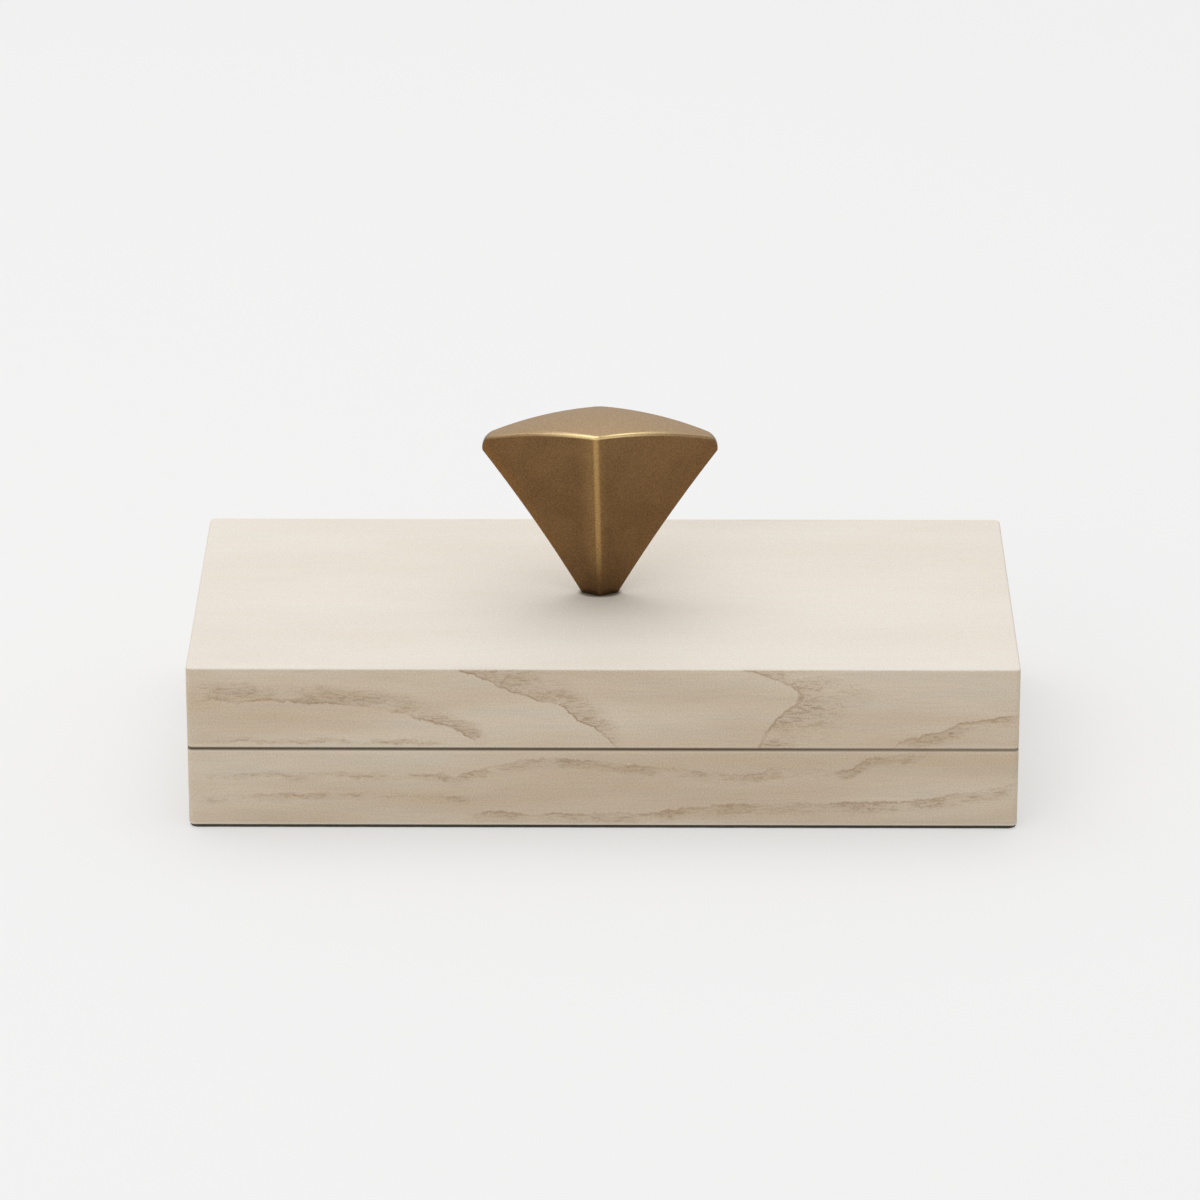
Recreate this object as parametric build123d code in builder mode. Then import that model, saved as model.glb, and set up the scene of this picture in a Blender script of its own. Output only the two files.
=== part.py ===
from build123d import *
from math import radians, tan
import os

# Watercolour box: a shallow ash box with a lift-off lid and a cast brass knob. Inside are a
# wooden pan tray, twelve half pans of paint and a porcelain mixing dish. Sizes are in
# millimetres. The origin is the centre of the underside, +X runs along the length, -Y is the
# front and +Z is up.

# Box outside
box_length = 180.0
box_depth = 90.0
corner_round = 1.2  # upright outer corners
top_edge_round = 0.5  # upper edge of the lid
seam_edge = 0.35  # chamfer on both sides of the seam
foot_edge = 0.3  # chamfer under the base

# Felt under the base
felt_thickness = 0.7
felt_inset = 0.8

# Base, hollowed from one block
base_height = 18.0
base_wall = 9.0
base_floor = 4.5
cavity_corner = 6.0  # radius that the router leaves
lip_thickness = 3.5
lip_height = 4.0
lip_edge = 0.6  # chamfer that leads the lid on

# Lid, hollowed from one block
lid_height = 18.7
lid_top_thickness = 6.0
lid_gap = 0.3  # between the lip and the lid, all round

# Knob: a long rhombus in plan, narrow at the foot and domed on top
knob_x = -0.9  # a little left of the lid's centre
knob_height = 40.8
knob_shoulder_height = 36.2  # where the flanks meet the dome, before rounding
knob_shoulder_half = 27.75
knob_foot_half = 4.05
knob_flank_bow = 0.75  # how far each flank is hollowed from a straight line
knob_nose_round = 3.4  # the two ends of the dome, seen from the front
knob_depth = 20.3
knob_foot_depth = 5.0
knob_corner_round = 0.5  # the two long corners, seen from above
knob_ridge_round = 1.0  # the front ridge, seen from above
knob_ridge_lean = 0.9  # how far left of the middle the front ridge ends at the top
knob_back_round = 4.0  # the back ridge at the top; at the foot it is as sharp as the front one
knob_rim_round = 0.4  # where the dome meets the four sides
knob_crown_radius = 86.0  # the dome from front to back
knob_sections = 3

# Screw and washer that hold the knob
screw_radius = 1.25
screw_grip = 10.0  # length of the screw in the knob
screw_tip_room = 1.0  # blind hole beyond the screw's end
screw_tip_chamfer = 0.3
screw_hole_gap = 0.2  # round the screw in the lid
thread_gap = 0.03  # round the screw in the knob
screw_head_radius = 2.5
screw_head_height = 1.8
screw_head_edge = 0.6
driver_slot_length = 3.0
driver_slot_width = 0.7
driver_slot_depth = 1.0
washer_radius = 3.4
washer_thickness = 0.5
counterbore_gap = 0.4  # round the washer
counterbore_spare = 0.4  # over the screw head

# Half pans and the paint in them
pan_width = 15.6
pan_length = 19.0
pan_height = 9.8
pan_wall = 0.8
pan_floor = 1.0
pan_draft = 3.0  # degrees
pan_corner = 1.6  # chamfer of the upright corners
pan_rim_height = 0.9
pan_rim_overhang = 0.4
paint_gap = 0.05  # between the paint and the pan's walls
paint_below_rim = 1.2
paint_hollow = 0.5  # depth of the trough that the brush wears along the paint
paint_hollow_radius = 50.0

# Mixing dish
dish_height = 9.6
dish_corner = 6.0
dish_edge_round = 1.2
dish_rim = 4.5  # from the dish's edge to its wells
well_count = 3
well_web = 3.0  # between neighbouring wells
well_depth = 6.4
well_corner = 5.0
well_bottom_round = 3.5
well_rim = 0.6  # chamfer round each well

# Pan tray
tray_height = 13.6
tray_gap = 0.4  # between the tray and the cavity, all round
tray_edge = 0.5
pan_columns = 6
pan_gap = 0.3  # between neighbouring pans, and round the row
row_corner = 1.5  # radius that the cutter leaves, inside the pans' chamfers
dish_gap = 0.3  # round the dish
pocket_depth = 8.6
end_web = 6.3  # wood at the tray's ends, and between the pans and the dish
groove_width = 12.0
groove_depth = 8.0
groove_bottom_round = 4.0
notch_radius = 10.0  # nail notches in the tray's two ends
notch_bite = 3.2

# Faces this close to a level lie on it
level_tolerance = 0.01

# Levels, from the underside up
base_bottom = felt_thickness
floor_level = base_bottom + base_floor
seam_level = base_bottom + base_height
lip_level = seam_level + lip_height
lid_level = seam_level + lid_height
ceiling_level = lid_level - lid_top_thickness
tray_level = floor_level + tray_height
pocket_level = tray_level - pocket_depth
dish_level = pocket_level + dish_height
pan_level = pocket_level + pan_height
paint_level = pan_level - paint_below_rim

# Plans that nest in one another
cavity_length = box_length - 2 * base_wall
cavity_depth = box_depth - 2 * base_wall
lip_length = cavity_length + 2 * lip_thickness
lip_depth = cavity_depth + 2 * lip_thickness
lip_corner = cavity_corner + lip_thickness
hollow_length = lip_length + 2 * lid_gap
hollow_depth = lip_depth + 2 * lid_gap
hollow_corner = lip_corner + lid_gap
tray_length = cavity_length - 2 * tray_gap
tray_depth = cavity_depth - 2 * tray_gap
tray_corner = cavity_corner - tray_gap

# Layout of the tray: two rows of pans and a brush groove on the left, the dish on the right.
# The wood left over in depth is shared by the four webs beside the rows.
pan_pitch = pan_width + pan_gap
row_length = pan_columns * pan_pitch + pan_gap
row_width = pan_length + 2 * pan_gap
row_web = (tray_depth - 2 * row_width - groove_width) / 4
row_x = -tray_length / 2 + end_web + row_length / 2
row_y = groove_width / 2 + row_web + row_width / 2
dish_pocket_width = tray_length - row_length - 3 * end_web
dish_pocket_length = tray_depth - 2 * row_web
dish_pocket_corner = dish_corner + dish_gap
dish_x = tray_length / 2 - end_web - dish_pocket_width / 2
dish_width = dish_pocket_width - 2 * dish_gap
dish_length = dish_pocket_length - 2 * dish_gap
well_width = dish_width - 2 * dish_rim
well_length = (dish_length - 2 * dish_rim - (well_count - 1) * well_web) / well_count


def plane_at(level, x=0, y=0):
    return Plane((x, y, level))


def faces_at(part, level):
    flat = part.faces().filter_by(GeomType.PLANE)
    return flat.filter_by_position(Axis.Z, level - level_tolerance, level + level_tolerance)


def cut_rectangle(length, width, corner):
    plan = Rectangle(length, width)
    chamfer(plan.vertices(), corner)


# Base: a block with a shoulder for the lid, a raised lip inside it and a cavity for the tray
with BuildPart() as base_box:
    with BuildSketch(plane_at(base_bottom)):
        RectangleRounded(box_length, box_depth, corner_round)
    extrude(amount=base_height)
    with BuildSketch(plane_at(seam_level)):
        RectangleRounded(lip_length, lip_depth, lip_corner)
    extrude(amount=lip_height)
    with BuildSketch(plane_at(floor_level)):
        RectangleRounded(cavity_length, cavity_depth, cavity_corner)
    extrude(amount=lip_level - floor_level, mode=Mode.SUBTRACT)
    chamfer(faces_at(base_box, base_bottom)[0].outer_wire().edges(), foot_edge)
    chamfer(faces_at(base_box, seam_level)[0].outer_wire().edges(), seam_edge)
    chamfer(faces_at(base_box, lip_level)[0].edges(), lip_edge)

# Felt glued under the base
with BuildPart() as base_felt:
    with BuildSketch(plane_at(0)):
        RectangleRounded(box_length - 2 * felt_inset, box_depth - 2 * felt_inset, corner_round)
    extrude(amount=felt_thickness)

# Lid: a block hollowed from below, with a counterbored hole for the knob's screw
counterbore_depth = washer_thickness + screw_head_height + counterbore_spare
with BuildPart() as lid:
    with BuildSketch(plane_at(seam_level)):
        RectangleRounded(box_length, box_depth, corner_round)
    extrude(amount=lid_height)
    with BuildSketch(plane_at(seam_level)):
        RectangleRounded(hollow_length, hollow_depth, hollow_corner)
    extrude(amount=ceiling_level - seam_level, mode=Mode.SUBTRACT)
    fillet(faces_at(lid, lid_level)[0].edges(), top_edge_round)
    chamfer(faces_at(lid, seam_level)[0].outer_wire().edges(), seam_edge)
    with Locations(Plane(origin=(knob_x, 0, ceiling_level), z_dir=(0, 0, -1))):
        CounterBoreHole(
            radius=screw_radius + screw_hole_gap,
            counter_bore_radius=washer_radius + counterbore_gap,
            counter_bore_depth=counterbore_depth,
        )

# Washer and screw, put in from below
washer_level = ceiling_level + counterbore_depth
head_level = washer_level - washer_thickness
screw_end = lid_level + screw_grip
with BuildPart() as knob_washer:
    with BuildSketch(plane_at(head_level, knob_x)):
        Circle(washer_radius)
        Circle(screw_radius + screw_hole_gap, mode=Mode.SUBTRACT)
    extrude(amount=washer_thickness)

with BuildPart() as knob_screw:
    with BuildSketch(plane_at(head_level, knob_x)):
        Circle(screw_head_radius)
    extrude(amount=-screw_head_height)
    chamfer(faces_at(knob_screw, head_level - screw_head_height)[0].edges(), screw_head_edge)
    with BuildSketch(plane_at(head_level, knob_x)):
        Circle(screw_radius)
    extrude(amount=screw_end - head_level)
    chamfer(faces_at(knob_screw, screw_end)[0].edges(), screw_tip_chamfer)
    with BuildSketch(plane_at(head_level - screw_head_height, knob_x)):
        Rectangle(driver_slot_length, driver_slot_width)
        Rectangle(driver_slot_width, driver_slot_length)
    extrude(amount=driver_slot_depth, mode=Mode.SUBTRACT)


# Knob: rounded rhombi that grow from the foot up, under a dome with rounded ends
def knob_half_length(height):
    share = height / knob_shoulder_height
    straight = knob_foot_half + (knob_shoulder_half - knob_foot_half) * share
    return straight - 4 * knob_flank_bow * share * (1 - share)


def knob_half_depth(height):
    return (knob_foot_depth + (knob_depth - knob_foot_depth) * height / knob_height) / 2


dome_spare = 1.0  # the rhombi rise past the dome that trims them, and the dome's ends pass them
dome_sweep = 50.0  # degrees of the turned dome, more than the knob is deep
axis_level = lid_level + knob_height - knob_crown_radius
shoulder_y = lid_level + knob_shoulder_height - axis_level
skirt_y = lid_level - dome_spare - axis_level
dome_plane = Plane(origin=(knob_x, 0, axis_level), x_dir=(1, 0, 0), z_dir=(0, -1, 0))
with BuildPart() as knob:
    for step in range(knob_sections):
        height = step * (knob_height + dome_spare) / (knob_sections - 1)
        corner_x = knob_half_length(height) - knob_corner_round
        front_x = -knob_ridge_lean * height / knob_height
        front_y = knob_ridge_round - knob_half_depth(height)
        back_round = knob_ridge_round + (knob_back_round - knob_ridge_round) * height / knob_height
        with BuildSketch(plane_at(lid_level + height, knob_x)):
            with Locations((-corner_x, 0), (corner_x, 0)):
                Circle(knob_corner_round)
            with Locations((front_x, front_y)):
                Circle(knob_ridge_round)
            with Locations((0, knob_half_depth(height) - back_round)):
                Circle(back_round)
            make_hull()
    loft()
    with BuildSketch(dome_plane.rotated((-dome_sweep / 2, 0, 0))) as silhouette:
        with BuildLine():
            skirt = Line((-knob_foot_half, skirt_y), (knob_foot_half, skirt_y))
            flank = Line(skirt @ 1, (knob_shoulder_half, shoulder_y))
            dome = ThreePointArc(flank @ 1, (0, knob_crown_radius), (-knob_shoulder_half, shoulder_y))
            Line(dome @ 1, skirt @ 0)
        make_face()
        fillet(silhouette.vertices().sort_by(Axis.Y)[-2:], knob_nose_round)
    revolve(
        axis=Axis((0, 0, axis_level), (1, 0, 0)),
        revolution_arc=dome_sweep,
        mode=Mode.INTERSECT,
    )
    fillet(knob.faces().sort_by(Axis.Z)[-1].edges(), knob_rim_round)
    with Locations(Plane(origin=(knob_x, 0, lid_level), z_dir=(0, 0, -1))):
        Hole(radius=screw_radius + thread_gap, depth=screw_grip + screw_tip_room)

# Pan tray: one board with two pan rows, a brush groove and a pocket for the dish
notch_x = tray_length / 2 + notch_radius - notch_bite
with BuildPart() as pan_tray:
    with BuildSketch(plane_at(floor_level)):
        RectangleRounded(tray_length, tray_depth, tray_corner)
        with Locations((-notch_x, 0), (notch_x, 0)):
            Circle(notch_radius, mode=Mode.SUBTRACT)
    extrude(amount=tray_height)
    chamfer(faces_at(pan_tray, tray_level)[0].edges(), tray_edge)
    with BuildSketch(plane_at(tray_level)):
        with Locations((row_x, -row_y), (row_x, row_y)):
            RectangleRounded(row_length, row_width, row_corner)
        with Locations((dish_x, 0)):
            RectangleRounded(dish_pocket_width, dish_pocket_length, dish_pocket_corner)
    extrude(amount=-pocket_depth, mode=Mode.SUBTRACT)
    with BuildSketch(plane_at(tray_level)):
        with Locations((row_x, 0)):
            SlotOverall(row_length, groove_width)
    extrude(amount=-groove_depth, mode=Mode.SUBTRACT)
    fillet(faces_at(pan_tray, tray_level - groove_depth)[0].edges(), groove_bottom_round)

# Mixing dish with three wells
with BuildPart() as mixing_dish:
    with BuildSketch(plane_at(pocket_level, dish_x)):
        RectangleRounded(dish_width, dish_length, dish_corner)
    extrude(amount=dish_height)
    fillet(faces_at(mixing_dish, dish_level)[0].edges(), dish_edge_round)
    with BuildSketch(plane_at(dish_level, dish_x)):
        with GridLocations(0, well_length + well_web, 1, well_count):
            RectangleRounded(well_width, well_length, well_corner)
    extrude(amount=-well_depth, mode=Mode.SUBTRACT)
    fillet(faces_at(mixing_dish, dish_level - well_depth).edges(), well_bottom_round)
    chamfer(faces_at(mixing_dish, dish_level)[0].inner_wires().edges(), well_rim)

nodes = {
    "base_box": base_box,
    "base_felt": base_felt,
    "lid": lid,
    "knob": knob,
    "knob_screw": knob_screw,
    "knob_washer": knob_washer,
    "pan_tray": pan_tray,
    "mixing_dish": mixing_dish,
}

# Half pans with their paint, the back row first, each row from left to right
colours = [
    "lemon_yellow",
    "warm_yellow",
    "orange",
    "scarlet",
    "crimson",
    "violet",
    "ultramarine",
    "sky_blue",
    "viridian",
    "sap_green",
    "yellow_ochre",
    "burnt_umber",
]
shell_width = pan_width - 2 * pan_rim_overhang
shell_length = pan_length - 2 * pan_rim_overhang
shell_corner = pan_corner - pan_rim_overhang
inside_width = shell_width - 2 * pan_wall
inside_length = shell_length - 2 * pan_wall
inside_corner = shell_corner - pan_wall
paint_inset = paint_gap + paint_below_rim * tan(radians(pan_draft))
for place, colour in enumerate(colours):
    row, column = divmod(place, pan_columns)
    pan_x = row_x + (column - (pan_columns - 1) / 2) * pan_pitch
    pan_y = row_y if row == 0 else -row_y

    pan_top = plane_at(pan_level, pan_x, pan_y)
    with BuildPart() as pan:
        with BuildSketch(pan_top):
            cut_rectangle(shell_width, shell_length, shell_corner)
        extrude(amount=-pan_height, taper=pan_draft)
        with BuildSketch(pan_top):
            cut_rectangle(pan_width, pan_length, pan_corner)
        extrude(amount=-pan_rim_height)
        with BuildSketch(pan_top):
            cut_rectangle(inside_width, inside_length, inside_corner)
        extrude(amount=pan_floor - pan_height, taper=pan_draft, mode=Mode.SUBTRACT)
    nodes[f"pan_{colour}"] = pan

    with BuildPart() as paint:
        with BuildSketch(plane_at(paint_level, pan_x, pan_y)):
            cut_rectangle(
                inside_width - 2 * paint_inset,
                inside_length - 2 * paint_inset,
                inside_corner,
            )
        extrude(amount=pocket_level + pan_floor - paint_level, taper=pan_draft)
        with Locations((pan_x, pan_y, paint_level + paint_hollow_radius - paint_hollow)):
            Cylinder(paint_hollow_radius, pan_length, rotation=(90, 0, 0), mode=Mode.SUBTRACT)
    nodes[f"paint_{colour}"] = paint

os.makedirs("parts", exist_ok=True)
for name, built in nodes.items():
    built.part.label = name
    export_step(built.part, f"parts/{name}.step")
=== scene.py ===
import bpy
import math
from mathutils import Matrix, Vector


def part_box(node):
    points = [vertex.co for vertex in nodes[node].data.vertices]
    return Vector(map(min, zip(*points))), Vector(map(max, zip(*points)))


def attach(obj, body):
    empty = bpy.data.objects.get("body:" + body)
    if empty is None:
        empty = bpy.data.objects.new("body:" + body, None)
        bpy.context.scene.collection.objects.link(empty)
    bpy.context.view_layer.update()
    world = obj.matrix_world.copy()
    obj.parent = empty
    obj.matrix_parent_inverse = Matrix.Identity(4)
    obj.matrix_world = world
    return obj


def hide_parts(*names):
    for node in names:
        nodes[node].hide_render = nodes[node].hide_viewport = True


# A lidded ash paint box with a brass knob, seen from the front and a little above. The CAD
# nodes keep their shapes. Shaders work in millimetres, meshes in metres.

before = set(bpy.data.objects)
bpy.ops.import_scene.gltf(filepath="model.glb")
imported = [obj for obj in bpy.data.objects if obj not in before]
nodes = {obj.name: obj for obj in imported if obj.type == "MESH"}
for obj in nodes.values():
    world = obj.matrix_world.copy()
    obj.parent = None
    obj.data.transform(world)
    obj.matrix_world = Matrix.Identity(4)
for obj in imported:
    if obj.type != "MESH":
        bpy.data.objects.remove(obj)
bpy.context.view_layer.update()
millimetre = 0.001
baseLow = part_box("base_box")[0]
lidLow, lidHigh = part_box("lid")
knobLow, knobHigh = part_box("knob")
halfLength = lidHigh.x / millimetre
halfDepth = lidHigh.y / millimetre
footLevel = baseLow.z / millimetre
seamLevel = lidLow.z / millimetre
topLevel = lidHigh.z / millimetre
knobX = (knobLow.x + knobHigh.x) / 2 / millimetre
knobTop = knobHigh.z / millimetre
knobHalf = (knobHigh.x - knobLow.x) / 2 / millimetre
knobReach = (knobHigh.y - knobLow.y) / 2 / millimetre
print("frame loaded, nodes:", len(nodes))


# Shader sums are written as Python expressions on wires
class Wire:
    def __init__(self, finish, socket):
        self.finish = finish
        self.socket = socket

    def sum(self, operation, *terms):
        given = dict(enumerate(terms))
        return self.finish.node("Math", {"operation": operation}, given).out("Value")

    def __add__(self, other):
        return self.sum("ADD", self, other)

    def __radd__(self, other):
        return self.sum("ADD", other, self)

    def __sub__(self, other):
        return self.sum("SUBTRACT", self, other)

    def __rsub__(self, other):
        return self.sum("SUBTRACT", other, self)

    def __mul__(self, other):
        return self.sum("MULTIPLY", self, other)

    def __rmul__(self, other):
        return self.sum("MULTIPLY", other, self)

    def __truediv__(self, other):
        return self.sum("DIVIDE", self, other)

    def __rtruediv__(self, other):
        return self.sum("DIVIDE", other, self)

    def __pow__(self, other):
        return self.sum("POWER", self, other)

    def __abs__(self):
        return self.sum("ABSOLUTE", self)

    def fraction(self):
        return self.sum("FRACT", self)

    def atLeast(self, other):
        return self.sum("MAXIMUM", self, other)

    def rise(self, low, high):  # 0 below low, 1 above high, smooth between
        settings = {"interpolation_type": "SMOOTHSTEP"}
        given = {"Value": self, "From Min": low, "From Max": high}
        return self.finish.node("MapRange", settings, given).out("Result")

    def fall(self, low, high):
        return 1 - self.rise(low, high)

    def band(self, centre, width):  # 1 at centre, 0 from width away
        return abs(self - centre).fall(0, width)


class NodeBox:
    def __init__(self, finish, node):
        self.finish = finish
        self.node = node

    def out(self, name):
        return Wire(self.finish, self.node.outputs[name])


class Finish:  # one node-based material, or the world
    def __init__(self, name, tree=None):
        if tree is None:
            self.material = bpy.data.materials.new(name)
            self.material.use_nodes = True
            tree = self.material.node_tree
        self.tree = tree
        self.tree.nodes.clear()

    def node(self, kind, settings, given):
        made = self.tree.nodes.new("ShaderNode" + kind)
        for key, value in settings.items():
            if key == "points":
                curve = made.mapping.curves[0].points
                for index, (across, up) in enumerate(value):
                    point = curve[index] if index < 2 else curve.new(across, up)
                    point.location = (across, up)
                made.mapping.update()
            else:
                setattr(made, key, value)
        for key, value in given.items():
            socket = made.inputs[key]
            if isinstance(value, Wire):
                self.tree.links.new(value.socket, socket)
            elif socket.type == "RGBA":
                socket.default_value = (*value, 1)
            else:
                socket.default_value = value
        return NodeBox(self, made)

    def place(self):  # the surface point in millimetres, as a vector
        given = {0: self.node("TexCoord", {}, {}).out("Object"), "Scale": 1 / millimetre}
        return self.node("VectorMath", {"operation": "SCALE"}, given).out("Vector")

    def parts(self, vector):
        split = self.node("SeparateXYZ", {}, {0: vector})
        return split.out("X"), split.out("Y"), split.out("Z")

    def stretch(self, vector, scale, move=(0, 0, 0)):
        settings = {"operation": "MULTIPLY_ADD"}
        return self.node("VectorMath", settings, {0: vector, 1: scale, 2: move}).out("Vector")

    def cloud(self, vector, scale=1.0, detail=2.0, roughness=0.5, distortion=0.0):
        given = {"Vector": vector, "Scale": scale, "Detail": detail, "Roughness": roughness,
                 "Distortion": distortion}
        return self.node("TexNoise", {}, given).out("Fac")

    def cells(self, vector, scale):
        return self.node("TexVoronoi", {}, {"Vector": vector, "Scale": scale}).out("Distance")

    def mix(self, amount, first, second, blend="MIX"):
        made = self.tree.nodes.new("ShaderNodeMix")
        made.data_type = "RGBA"
        made.blend_type = blend
        made.clamp_factor = True
        for index, value in ((0, amount), (6, first), (7, second)):  # a colour mix's own sockets
            if isinstance(value, Wire):
                self.tree.links.new(value.socket, made.inputs[index])
            elif index == 0:
                made.inputs[index].default_value = value
            else:
                made.inputs[index].default_value = (*value, 1)
        return Wire(self, made.outputs[2])

    def speckled(self, colour, grain, amount):  # lighter and darker grains over a colour
        grey = self.mix(grain, (0.22, 0.22, 0.22), (0.78, 0.78, 0.78))
        return self.mix(amount, colour, grey, "SOFT_LIGHT")

    def bump(self, height, depth, strength):
        given = {"Height": height, "Distance": depth * millimetre, "Strength": strength}
        return self.node("Bump", {}, given).out("Normal")

    def surface(self, given):
        self.finishWith(self.node("BsdfPrincipled", {}, given).out("BSDF"))
        return self.material

    def finishWith(self, shader, output="OutputMaterial"):
        self.node(output, {}, {"Surface": shader})


def placed(name, data):  # a new object in the scene
    made = bpy.data.objects.new(name, data)
    bpy.context.scene.collection.objects.link(made)
    return made


def dress(material, *names):
    for name in names:
        piece = nodes[name]
        piece.data.materials.clear()
        piece.data.materials.append(material)
        for face in piece.data.polygons:
            face.use_smooth = True


# Ash: growth rings stand on edge under the top, so that the top is straight-grained and the
# front and back show the flat-sawn lines
ash = {
    "pale": (0.70, 0.595, 0.465),
    "warm": (0.62, 0.49, 0.35),
    "grey": (0.575, 0.53, 0.445),
    "line": (0.36, 0.225, 0.135),
    "pore": (0.36, 0.25, 0.155),
    # painted highlight on the eased edges at the seam and the foot
    "edge": (0.80, 0.73, 0.62),
    # painted sheen that pales the top face
    "topSheen": (0.80, 0.765, 0.705),
    # painted shadow in the gap between lid and base
    "seam": (0.075, 0.043, 0.010),
    # painted shadow under the knob's foot
    "contactShadow": (0.075, 0.062, 0.04),
    "greyShare": 0.30,
    "fibreShare": 0.14,
    "ringShare": 0.40,
    "stainShare": 0.30,
    "poreShare": 0.60,
    "topSheenShare": 0.66,
    "speckleShare": 0.50,
    "seamShare": 0.96,
    "seamFade": 0.28,  # how much paler the painted seam shadow is at the right
    "ringSpacing": 3.1,
    "ringWander": 20.0,
    "jitter": 1.5,
    "swing": 2.4,
    "lineWidth": 0.40,
    "seamWidth": 0.56,
    "contactSize": (4.9, 3.4),  # of the knob's foot, across and deep
    "curveHeight": 40.0,  # the level at the top of every line's curve
}

# A line follows points (mm along, mm up) on the front and back. Its pores are on the side that
# "pores" gives, as far as "reach", and "drawn" is how dark it is.
lidLines = [
    {"points": [(-90, 29.7), (-70, 29.9), (-57.5, 29.1), (-47.9, 28.0), (-41, 26.2),
                (-34.5, 24.3), (-28.1, 20.8), (-24, 17)],
     "pores": 1, "reach": 5.5, "drawn": 0.75},
    {"points": [(-34, 38.5), (-22.1, 33.6), (-15.7, 30.8), (-9.2, 28.7), (-4.9, 25.0),
                (-0.6, 22.6), (4, 17)],
     "pores": 1, "reach": 8.5, "drawn": 0.85},
    {"points": [(59, 17), (65.2, 20.6), (74, 23.6), (90, 27.0)],
     "pores": -1, "reach": 4.5, "drawn": 0.65},
    {"points": [(-88, 19.9), (-60, 20.0), (-34, 19.5)], "pores": 1, "reach": 1.4, "drawn": 0.1},
]
# One line arches over and comes back, so that its points are (mm up, mm along)
lidArch = [(17, 33.0), (21.9, 35.2), (27.3, 38.8), (30.8, 42.6), (33.6, 40.6), (38.5, 25)]
baseLines = [
    {"points": [(-33, 11.6), (-24, 14.6), (-14.2, 16.2), (-1.7, 15.9), (7.9, 14.6),
                (19.8, 13.6), (32.6, 12.9), (37.3, 14.2), (51.9, 13.9), (56.2, 15.8),
                (62.7, 17.3), (72, 19)],
     "pores": -1, "reach": 2.8, "drawn": 0.6},
    {"points": [(-30, 4.0), (9, 3.7), (19.8, 4.9), (30.5, 5.8), (51.9, 5.9), (68, 6.8),
                (82, 9.2), (90, 10.6)],
     "pores": -1, "reach": 3.4, "drawn": 0.6},
    {"points": [(-86, 12.6), (-60, 12.8), (-30, 12.2)], "pores": -1, "reach": 1.8, "drawn": 0.15},
    {"points": [(-88, 7.0), (-60, 8.1), (-24, 7.4)], "pores": -1, "reach": 2.2, "drawn": 0.15},
]
print("ash laid out")


def lengthShare(across):  # from mm along the box, a number or a wire, to a share of its length
    return (across + halfLength) / (2 * halfLength)


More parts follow.
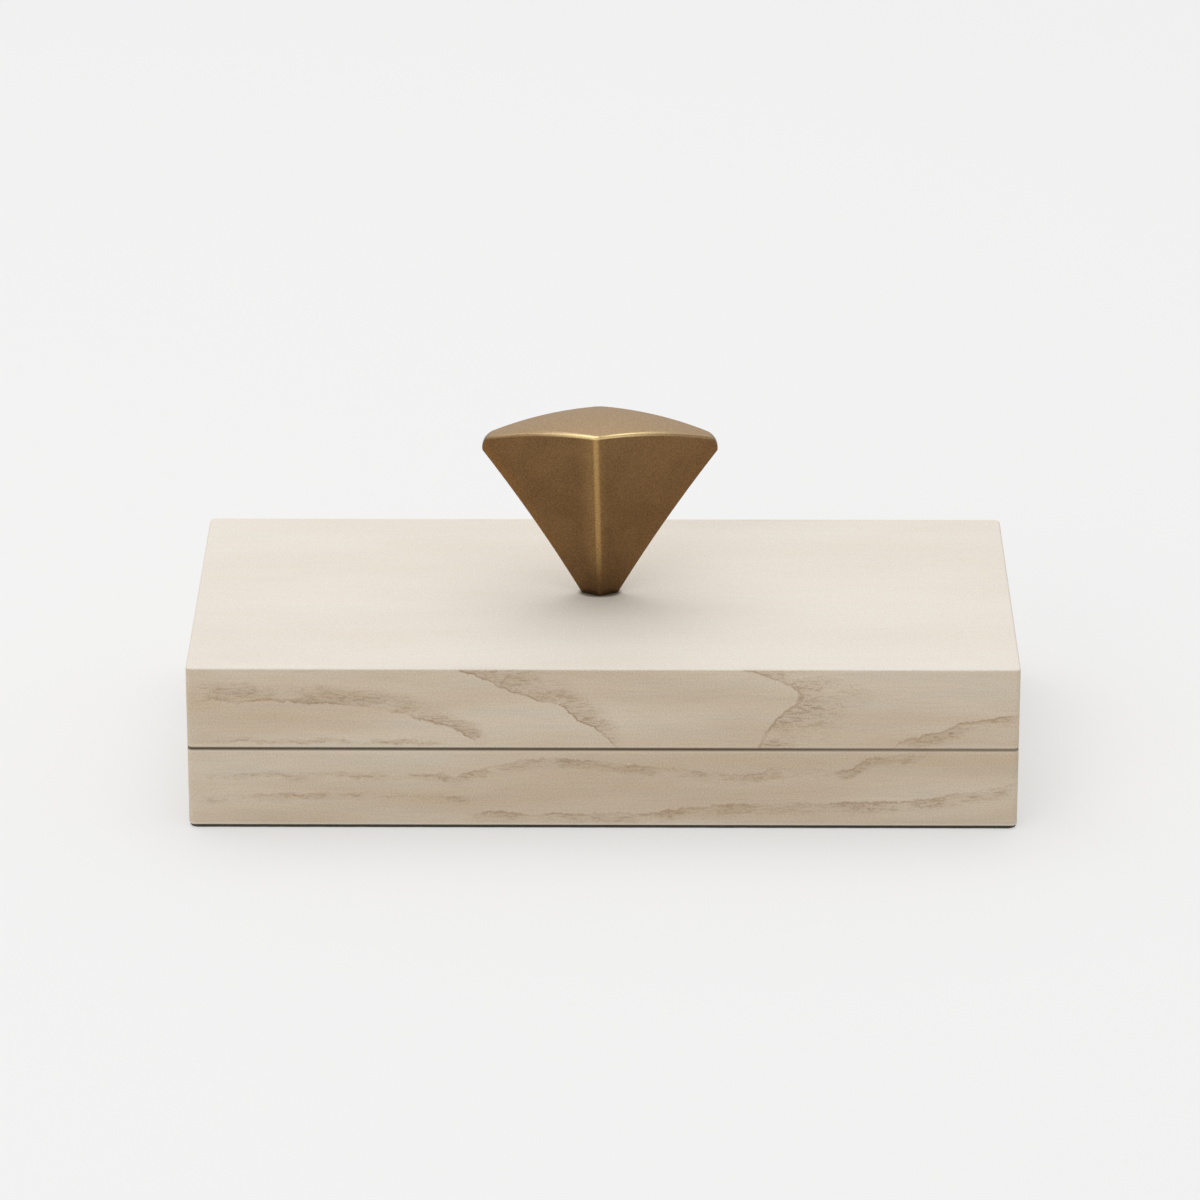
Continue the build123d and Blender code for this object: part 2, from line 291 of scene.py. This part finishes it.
def ashFinish(name, lines, arch):
    wood = Finish(name)
    place = wood.place()
    x, y, z = wood.parts(place)
    flatSawn = abs(y).rise(halfDepth - 2.5, halfDepth - 0.8)
    onTop = z.rise(topLevel - 0.35, topLevel - 0.1)

    # Rings, fibres, streaks, pores and the ripple that the lines follow
    wander = wood.cloud(wood.stretch(place, (0.012, 0.03, 0.05)), detail=1.5)
    ring = (y + wander * ash["ringWander"]) / ash["ringSpacing"]
    late = ring.fraction() ** 5 * (1 - flatSawn)
    fibre = wood.cloud(wood.stretch(place, (0.12, 2.0, 2.0)), detail=4, roughness=0.62)
    streaks = wood.cloud(wood.stretch(place, (0.03, 0.4, 0.4), (7, 3, 1)), detail=3)
    broad = wood.cloud(wood.stretch(place, (0.014, 0.05, 0.10), (3, 9, 4)), detail=2)
    speckle = wood.cloud(wood.stretch(place, (2.6, 3.4, 3.4), (2, 8, 5)), detail=2, roughness=0.7)
    squiggle = wood.stretch(place, (0.42, 2.0, 2.0), (5, 5, 5))
    dashes = wood.cloud(squiggle, detail=2.5, roughness=0.72, distortion=0.6).rise(0.48, 0.60)
    patches = wood.cloud(wood.stretch(place, (0.11, 0.25, 0.25), (1, 6, 2)), detail=2)
    patchy = patches.rise(0.34, 0.62)
    jitter = wood.cloud(wood.stretch(place, (0.8, 0.8, 0.8)), detail=2)
    swing = wood.cloud(wood.stretch(place, (0.16, 0.2, 0.2), (9, 1, 7)), detail=1)
    ripple = (jitter - 0.5) * ash["jitter"] + (swing - 0.5) * ash["swing"]

    # Each line is drawn, with pores and a stain beside it
    drawn = late * ash["ringShare"]
    pores = late * dashes * 0.5
    stained = 0
    for line in lines:
        points = [(lengthShare(across), up / ash["curveHeight"]) for across, up in line["points"]]
        curve = wood.node("FloatCurve", {"points": points}, {"Value": lengthShare(x)})
        away = (z - curve.out("Value") * ash["curveHeight"] + ripple) * line["pores"]
        start, end = line["points"][0][0], line["points"][-1][0]
        span = x.rise(start - 1, start + 4) * x.fall(end - 4, end + 1) * flatSawn
        stroke = abs(away).fall(0, ash["lineWidth"]) * span * (0.2 + patchy * 0.8)
        drawn = drawn.atLeast(stroke * line["drawn"])
        zone = away.rise(-0.2, 0.4) * away.fall(line["reach"] * 0.25, line["reach"]) * span
        pores = pores.atLeast(zone * dashes * (0.3 + patchy * 0.7))
        stained = (zone * patchy).atLeast(stained)
    if arch:
        points = [(up / ash["curveHeight"], lengthShare(across)) for up, across in arch]
        curve = wood.node("FloatCurve", {"points": points}, {"Value": z / ash["curveHeight"]})
        away = x + halfLength - curve.out("Value") * (2 * halfLength) + ripple * 1.6
        stroke = abs(away).fall(0, ash["lineWidth"] * 2) * flatSawn
        drawn = drawn.atLeast(stroke * (0.15 + patchy * 0.5))
        zone = away.rise(-0.5, 1.0) * away.fall(4, 18) * flatSawn
        pores = pores.atLeast(zone * dashes * (0.3 + patchy * 0.7))
        stained = (zone * patchy * 0.7).atLeast(stained)

    colour = wood.mix(broad.rise(0.32, 0.70), ash["pale"], ash["warm"])
    colour = wood.mix(streaks.rise(0.40, 0.72) * ash["greyShare"], colour, ash["grey"])
    colour = wood.mix(fibre.rise(0.35, 0.75) * ash["fibreShare"], colour, ash["warm"], "MULTIPLY")
    colour = wood.mix(stained * ash["stainShare"], colour, ash["warm"], "MULTIPLY")
    colour = wood.mix(drawn * (1 - onTop * 0.85), colour, ash["line"])
    colour = wood.mix(pores * ash["poreShare"] * (1 - onTop * 0.9), colour, ash["pore"])
    # Painted sheen pales the top face
    colour = wood.mix(onTop * ash["topSheenShare"], colour, ash["topSheen"])
    colour = wood.speckled(colour, speckle.rise(0.25, 0.75), ash["speckleShare"])

    # Painted highlights on the eased edges at the seam and the foot, the base a little darker
    # below the seam, painted shadow in the seam gap on the outside and painted shadow under the
    # knob
    colour = wood.mix(z.band(seamLevel, 1.3) * 0.40, colour, ash["edge"])
    colour = wood.mix(z.fall(footLevel + 0.2, footLevel + 0.8) * 0.60, colour, ash["edge"])
    colour = wood.mix(z.fall(seamLevel - 3, seamLevel) * 0.06, colour, ash["pore"])
    atEnds = abs(x).rise(halfLength - 1, halfLength - 0.6)
    outside = atEnds.atLeast(abs(y).rise(halfDepth - 1, halfDepth - 0.6))
    gapShadow = z.band(seamLevel, ash["seamWidth"]) ** 0.6 * outside
    offSeam = abs(z - seamLevel).rise(0.005, 0.02)  # the two level faces at the seam get no painted shadow
    seamShare = ash["seamShare"] - x.rise(10, 80) * ash["seamFade"]
    colour = wood.mix(gapShadow * offSeam * seamShare, colour, ash["seam"])
    contactAcross, contactDeep = ash["contactSize"]
    contactShadow = ((x - knobX) / contactAcross) ** 2 + (y / contactDeep) ** 2
    colour = wood.mix(contactShadow.fall(0.55, 1.2) * onTop * 0.85, colour, ash["contactShadow"])

    relief = fibre * 0.5 - pores * 0.6 - drawn * 0.3 + speckle * 0.25
    return wood.surface({
        "Base Color": colour,
        "Roughness": 0.62 + fibre * 0.12,
        "Normal": wood.bump(relief, 0.06, 0.5),
        "Specular IOR Level": 0.4,
    })


dress(ashFinish("limedAshLid", lidLines, lidArch), "lid")
dress(ashFinish("limedAshBase", baseLines, None), "base_box")
print("ash finished")

# Brass: cast, brushed and darkened, with a painted highlight on its rim, ridges worn and with a
# painted highlight, and a dome worn and with a painted reflection. The dome is an arc both ways,
# and its plan a rhombus.
brass = {
    "face": (0.215, 0.125, 0.056),
    "dark": (0.125, 0.068, 0.030),
    # painted reflection on the flanks, stronger on the left
    "orange": (0.30, 0.145, 0.045),
    # dome wear with a painted reflection
    "dome": (0.42, 0.285, 0.155),
    # ridge wear with a painted highlight, also the painted reflection beside the front ridge
    "ridge": (0.52, 0.33, 0.13),
    # painted highlight on the rim towards the viewer
    "rimHighlight": (0.95, 0.74, 0.38),
    "roughness": 0.40,
    "speckleShare": 0.80,
    "crownRadius": 86.5,
    "ridgeLean": 0.9,
}


def brassFinish():
    metal = Finish("darkenedBrass")
    place = metal.place()
    x, y, z = metal.parts(place)
    across = x - knobX
    above = z - topLevel
    crown = knobTop - (across * across + y * y) / (2 * brass["crownRadius"])
    onDome = (z - crown).rise(-0.9, -0.2)
    grain = metal.cloud(place, scale=2.6, detail=3, roughness=0.65)
    fine = metal.cloud(metal.stretch(place, (5, 5, 5), (3, 1, 2)), detail=2, roughness=0.7)
    patches = metal.cloud(place, scale=0.10, detail=2)
    colour = metal.mix(patches.rise(0.35, 0.7) * 0.35, brass["face"], brass["dark"])

    # Painted reflection on the flanks, stronger on the left, a darker foot, a painted reflection
    # beside the front ridge, and the ridges worn and with a painted highlight, which leans on the
    # front only
    flankReflection = (abs(across) - above * 0.60).rise(0.5, 6.5) * (1 - onDome)
    colour = metal.mix(flankReflection * (0.4 + across.fall(-10, 0) * 0.5) * 0.55, colour, brass["orange"])
    foot = above.fall(1, 12)
    colour = metal.mix(foot * 0.55, colour, brass["dark"])
    lean = brass["ridgeLean"] * above / (knobTop - topLevel) * y.fall(-1, 1)
    besideRidge = across + lean
    ridgeReflection = besideRidge.rise(-4.5, -0.3) * besideRidge.fall(-0.3, 2.5) * y.fall(-4, -2)
    colour = metal.mix(ridgeReflection * 0.22 * (1 - foot), colour, brass["ridge"])
    ridge = abs(besideRidge).fall(0.2, 0.85) * abs(y).rise(1.8, 3.0)
    colour = metal.mix(ridge * 0.75 * above.rise(1, 16), colour, brass["ridge"])

    # The dome, worn and with a painted reflection, and a painted highlight on its rim towards the
    # viewer
    colour = metal.mix(onDome, colour, brass["dome"])
    outward = abs(across) / knobHalf + abs(y) / knobReach
    rimHighlight = outward.rise(0.95, 0.99) * (z - crown).rise(-0.8, -0.4) * y.fall(-1, 1)
    colour = metal.mix(rimHighlight * across.band(1, 17) * 0.9, colour, brass["rimHighlight"])
    colour = metal.speckled(colour, fine.rise(0.3, 0.7), brass["speckleShare"])
    return metal.surface({
        "Base Color": colour,
        "Metallic": 1.0,
        "Roughness": brass["roughness"] + (grain - 0.5) * 0.16,
        "Normal": metal.bump(fine + grain * 0.5, 0.03, 0.6),
    })


dress(brassFinish(), "knob")

steel = {"dull": (0.50, 0.50, 0.51), "bright": (0.62, 0.62, 0.60)}


def steelFinish():
    metal = Finish("zincSteel")
    grain = metal.cloud(metal.place(), scale=2.5, detail=3)
    return metal.surface({
        "Base Color": metal.mix(grain, steel["dull"], steel["bright"]),
        "Metallic": 1.0,
        "Roughness": 0.28 + grain * 0.15,
        "Normal": metal.bump(grain, 0.01, 0.4),
    })


dress(steelFinish(), "knob_screw", "knob_washer")

# The felt: one thin dark sheet under the base, a little past the CAD felt, with a soft, slightly
# uneven edge; it makes the dark line along the foot
felt = {
    "dark": (0.040, 0.035, 0.023),
    "light": (0.068, 0.060, 0.042),
    "overhang": 0.6,  # past the CAD felt on every side
    "corner": 1.6,
    "cornerSteps": 6,
    "edgeRound": 0.2,
    "uneven": 0.08,
    "stitch": 2.0,  # between vertices along the straight edges
}
feltLow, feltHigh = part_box("base_felt")


def feltFinish():
    cloth = Finish("darkFelt")
    place = cloth.place()
    matted = cloth.cloud(place, scale=1.6, detail=5, roughness=0.7, distortion=1.2)
    tufts = cloth.cells(place, scale=2.4)
    return cloth.surface({
        "Base Color": cloth.mix(matted.rise(0.3, 0.7), felt["dark"], felt["light"]),
        "Roughness": 0.95,
        "Sheen Weight": 0.1,
        "Normal": cloth.bump(matted + tufts * 0.4, 0.25, 0.8),
    })


def feltPiece():
    halfX = feltHigh.x / millimetre + felt["overhang"]
    halfY = feltHigh.y / millimetre + felt["overhang"]
    thickness = (feltHigh.z - feltLow.z) / millimetre
    corner = felt["corner"]
    rounded = felt["edgeRound"]
    outline = []
    for sideX, sideY, turn in ((1, 1, 0), (-1, 1, 90), (-1, -1, 180), (1, -1, 270)):
        for step in range(felt["cornerSteps"] + 1):
            angle = math.radians(turn + step * 90 / felt["cornerSteps"])
            outline.append((sideX * (halfX - corner) + corner * math.cos(angle),
                            sideY * (halfY - corner) + corner * math.sin(angle)))
    edge = []
    for index, (x, y) in enumerate(outline):
        nextX, nextY = outline[(index + 1) % len(outline)]
        steps = max(1, round(math.hypot(nextX - x, nextY - y) / felt["stitch"]))
        for step in range(steps):
            share = step / steps
            edge.append((x + (nextX - x) * share, y + (nextY - y) * share))
    profile = [(rounded, 0), (0, rounded), (0, thickness - rounded * 0.3),
               (rounded * 0.3, thickness)]  # (inset, up) from the floor to the wood
    vertices = []
    for inset, up in profile:
        for index, (x, y) in enumerate(edge):
            waver = felt["uneven"] * abs(math.sin(index * 1.7) * math.sin(index * 0.61 + up * 3))
            insetX, insetY = 1 - (inset + waver) / halfX, 1 - (inset + waver) / halfY
            vertices.append((x * insetX * millimetre, y * insetY * millimetre, up * millimetre))
    count = len(edge)
    top = (len(profile) - 1) * count
    faces = [tuple(range(count))[::-1], tuple(range(top, top + count))]
    for ring in range(0, top, count):
        for index in range(count):
            after = (index + 1) % count
            faces.append((ring + index, ring + after, ring + count + after, ring + count + index))
    mesh = bpy.data.meshes.new("feltSheet")
    mesh.from_pydata(vertices, [], faces)
    mesh.materials.append(feltFinish())
    sheet = placed("feltSheet", mesh)
    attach(sheet, "box")
    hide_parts("base_felt")


feltPiece()
print("knob, screw and felt finished")

# Inside: the tray, its pans and paints, and the dish
trayWood = {
    "pale": (0.66, 0.53, 0.38),
    "dark": (0.45, 0.31, 0.19),
    "ringSpacing": 4.5,
    "ringWander": 22.0,
}


def trayFinish():
    wood = Finish("oiledAshTray")
    place = wood.place()
    x, y, z = wood.parts(place)
    wander = wood.cloud(wood.stretch(place, (0.012, 0.03, 0.05), (11, 2, 6)), detail=1.5)
    ring = (y + wander * trayWood["ringWander"]) / trayWood["ringSpacing"]
    late = ring.fraction() ** 4
    fibre = wood.cloud(wood.stretch(place, (0.06, 2.0, 2.0), (4, 4, 4)), detail=4, roughness=0.65)
    darker = late * 0.55 + fibre.rise(0.4, 0.8) * 0.35
    return wood.surface({
        "Base Color": wood.mix(darker, trayWood["pale"], trayWood["dark"]),
        "Roughness": 0.5 + fibre * 0.15,
        "Normal": wood.bump(fibre, 0.06, 0.5),
    })


dress(trayFinish(), "pan_tray")

panPlastic = {"white": (0.86, 0.86, 0.83), "smudged": (0.70, 0.67, 0.60), "smudgeShare": 0.3}


def panFinish():
    plastic = Finish("whitePan")
    place = plastic.place()
    smudge = plastic.cloud(place, scale=0.35, detail=3).rise(0.45, 0.75)
    grain = plastic.cloud(place, scale=6, detail=2)
    amount = smudge * panPlastic["smudgeShare"]
    return plastic.surface({
        "Base Color": plastic.mix(amount, panPlastic["white"], panPlastic["smudged"]),
        "Roughness": 0.25 + smudge * 0.2,
        "Normal": plastic.bump(grain, 0.01, 0.3),
    })


panNames = [name for name in nodes if name.startswith("pan_") and name != "pan_tray"]
dress(panFinish(), *panNames)

paintColours = {
    "lemon_yellow": (0.86, 0.72, 0.05),
    "warm_yellow": (0.86, 0.47, 0.02),
    "orange": (0.80, 0.22, 0.02),
    "scarlet": (0.62, 0.045, 0.02),
    "crimson": (0.30, 0.012, 0.035),
    "violet": (0.10, 0.02, 0.16),
    "ultramarine": (0.012, 0.03, 0.32),
    "sky_blue": (0.01, 0.17, 0.42),
    "viridian": (0.004, 0.15, 0.11),
    "sap_green": (0.09, 0.16, 0.02),
    "yellow_ochre": (0.44, 0.24, 0.06),
    "burnt_umber": (0.09, 0.042, 0.02),
}
usedPaint = {"wornShare": 0.6, "depth": 0.55}  # depth: a worn spot's brightness


def paintFinish(name, tint):
    paint = Finish("paint" + name.title().replace("_", ""))
    place = paint.place()
    worn = paint.cloud(place, scale=0.22, detail=3).rise(0.4, 0.65)
    crust = paint.cloud(place, scale=1.8, detail=4, roughness=0.7)
    deep = tuple(channel * usedPaint["depth"] for channel in tint)
    return paint.surface({
        "Base Color": paint.mix(worn * usedPaint["wornShare"], tint, deep),
        "Roughness": 0.35 + crust * 0.35,
        "Normal": paint.bump(crust, 0.15, 0.7),
    })


for paintName, tint in paintColours.items():
    dress(paintFinish(paintName, tint), "paint_" + paintName)

porcelain = {
    "white": (0.88, 0.87, 0.84),
    "shade": (0.83, 0.83, 0.80),
    "speck": (0.45, 0.40, 0.33),
    "shadeShare": 0.4,
    "speckShare": 0.25,
}


def porcelainFinish():
    glaze = Finish("glazedPorcelain")
    place = glaze.place()
    ripple = glaze.cloud(place, scale=0.12, detail=2)
    shade = ripple.rise(0.3, 0.7) * porcelain["shadeShare"]
    specks = glaze.cells(place, scale=0.35).fall(0.02, 0.05) * porcelain["speckShare"]
    colour = glaze.mix(shade, porcelain["white"], porcelain["shade"])
    return glaze.surface({
        "Base Color": glaze.mix(specks, colour, porcelain["speck"]),
        "Roughness": 0.08 + ripple * 0.05,
        "Coat Weight": 0.4,
        "Coat Roughness": 0.05,
        "Normal": glaze.bump(ripple, 0.25, 0.4),
    })


dress(porcelainFinish(), "mixing_dish")
print("tray, pans, paints and dish finished")

# Floor, light and camera
studio = {
    "floorColour": (0.80, 0.80, 0.80),
    "floorGlow": (0.92, 0.92, 0.915),
    "glowShare": 0.45,
    "floorHalf": 6.0,
    "backdrop": (0.89, 0.89, 0.89),
    "ambient": 0.44,
    "skyLight": 0.84,
}
half = studio["floorHalf"]
floorMesh = bpy.data.meshes.new("floor")
floorMesh.from_pydata([(-half, -half, 0), (half, -half, 0), (half, half, 0), (-half, half, 0)],
                      [], [(0, 1, 2, 3)])
floor = placed("floor", floorMesh)
paper = Finish("paleFloor")
matt = paper.node("BsdfDiffuse", {}, {"Color": studio["floorColour"]}).out("BSDF")
glowing = paper.node("Emission", {}, {"Color": studio["floorGlow"], "Strength": 1.0})
floorParts = {0: studio["glowShare"], 1: matt, 2: glowing.out("Emission")}
paper.finishWith(paper.node("MixShader", {}, floorParts).out("Shader"))
floorMesh.materials.append(paper.material)

world = bpy.data.worlds.new("studio")
bpy.context.scene.world = world
world.use_nodes = True
air = Finish("studio", world.node_tree)


def skyShader(colour, strength):
    return air.node("Background", {}, {"Color": colour, "Strength": strength}).out("Background")


# More light comes from above and behind. The camera sees an even backdrop instead.
toward = air.parts(air.node("TexCoord", {}, {}).out("Generated"))
lift = (toward[1] * 0.5 + toward[2]).rise(0.1, 0.9)
low = skyShader((1, 1, 1), studio["ambient"])
high = skyShader((1, 1, 1), studio["skyLight"])
around = air.node("MixShader", {}, {0: lift, 1: low, 2: high}).out("Shader")
seen = air.node("LightPath", {}, {}).out("Is Camera Ray")
shown = skyShader(studio["backdrop"], 1.0)
sky = air.node("MixShader", {}, {0: seen, 1: around, 2: shown}).out("Shader")
air.finishWith(sky, "OutputWorld")

lamps = [
    {"name": "overhead", "size": (1.6, 1.6), "place": (-0.14, 0.25, 1.5), "aim": (0, 0, 0),
     "power": 9.9},
    {"name": "frontFill", "size": (1.2, 0.8), "place": (-0.9, -1.5, 0.9), "aim": (0, 0, 0.02),
     "power": 5.3},
]
for lamp in lamps:
    light = bpy.data.lights.new(lamp["name"], "AREA")
    light.shape = "RECTANGLE"
    light.size, light.size_y = lamp["size"]
    light.energy = lamp["power"]
    holder = placed(lamp["name"], light)
    holder.location = lamp["place"]
    direction = Vector(lamp["aim"]) - Vector(lamp["place"])
    holder.rotation_euler = direction.to_track_quat("-Z", "Y").to_euler()

view = {
    "place": (0.0061, -1.3334, 0.5704),
    "lens": 194.28,
    "sensor": 36.0,
    "pitch": 21.86,  # degrees below the horizon
    "yaw": -0.30,  # degrees to the right
}
cameraData = bpy.data.cameras.new("camera")
cameraData.lens = view["lens"]
cameraData.sensor_width = view["sensor"]
camera = placed("camera", cameraData)
camera.location = view["place"]
camera.rotation_euler = (math.radians(90 - view["pitch"]), 0, math.radians(-view["yaw"]))
bpy.context.scene.camera = camera
bpy.context.scene.view_settings.view_transform = "Standard"
print("floor, light and camera set")
